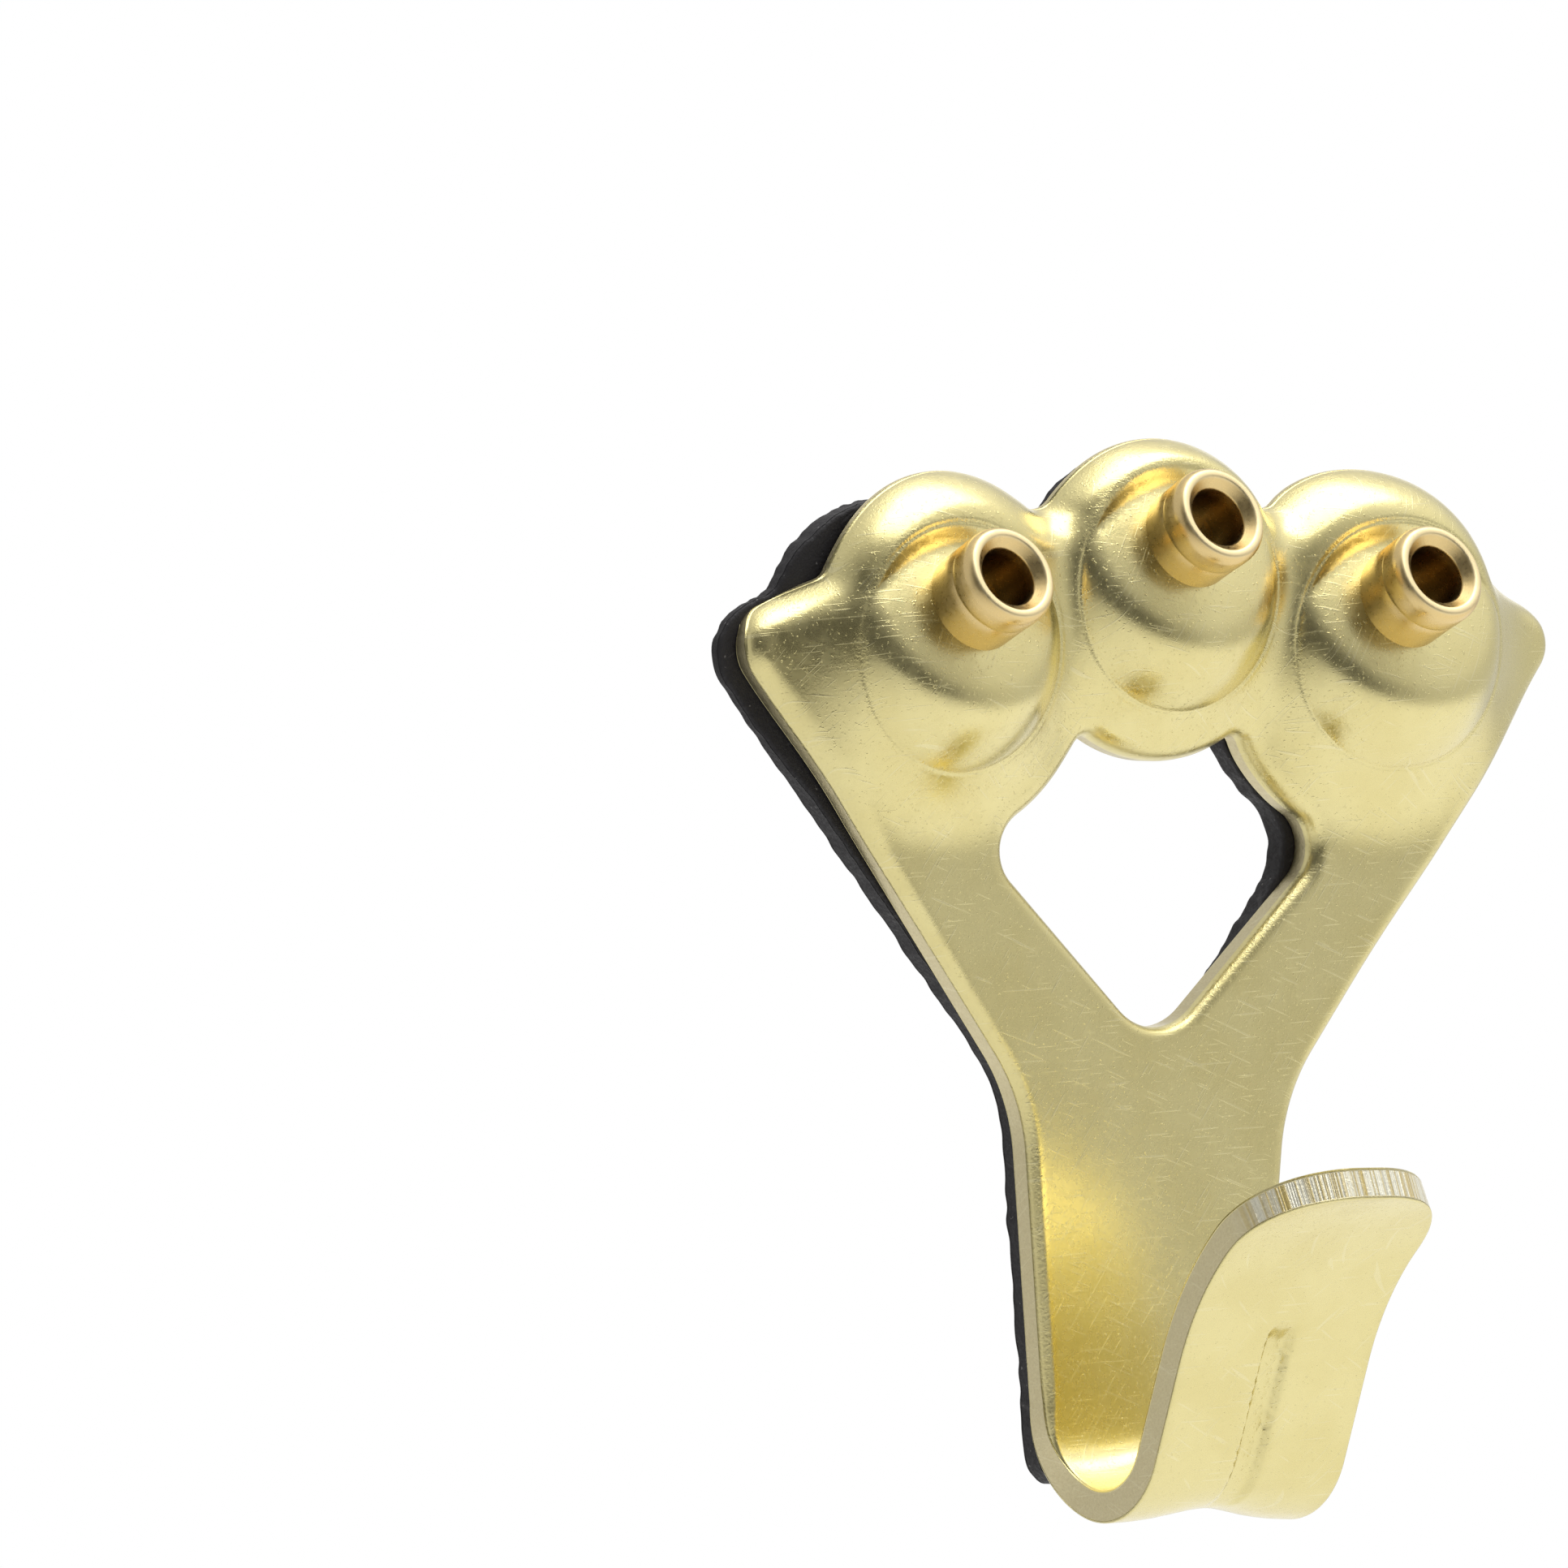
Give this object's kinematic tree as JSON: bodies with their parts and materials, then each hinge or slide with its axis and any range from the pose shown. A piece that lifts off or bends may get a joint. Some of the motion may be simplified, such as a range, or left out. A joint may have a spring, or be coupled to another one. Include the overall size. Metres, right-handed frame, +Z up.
{
  "type": "picture hook",
  "caption": "Picture hook: a stamped plate with embossed bosses, slanted nail guides, a window, a turned-up lip and a thin wall pad.",
  "frame": {"origin": "on the wall, at the back face of the wall pad, on the hook's centre line, level with the middles of the outer bosses", "axes": "+X across the hook, +Y into the wall, +Z up; the front looks along -Y"},
  "size_m": [0.0386, 0.0151, 0.0399],
  "materials": {
    "plated_plate": "satin brass plating over stamped steel",
    "turned_brass": "turned, lightly polished",
    "black_pad": "matt die-cut sheet"
  },
  "bodies": {
    "root": {"hook_plate": "plated_plate", "guide_sleeve_left": "turned_brass", "guide_sleeve_middle": "turned_brass", "guide_sleeve_right": "turned_brass", "wall_pad": "black_pad"}
  },
  "joints": []
}
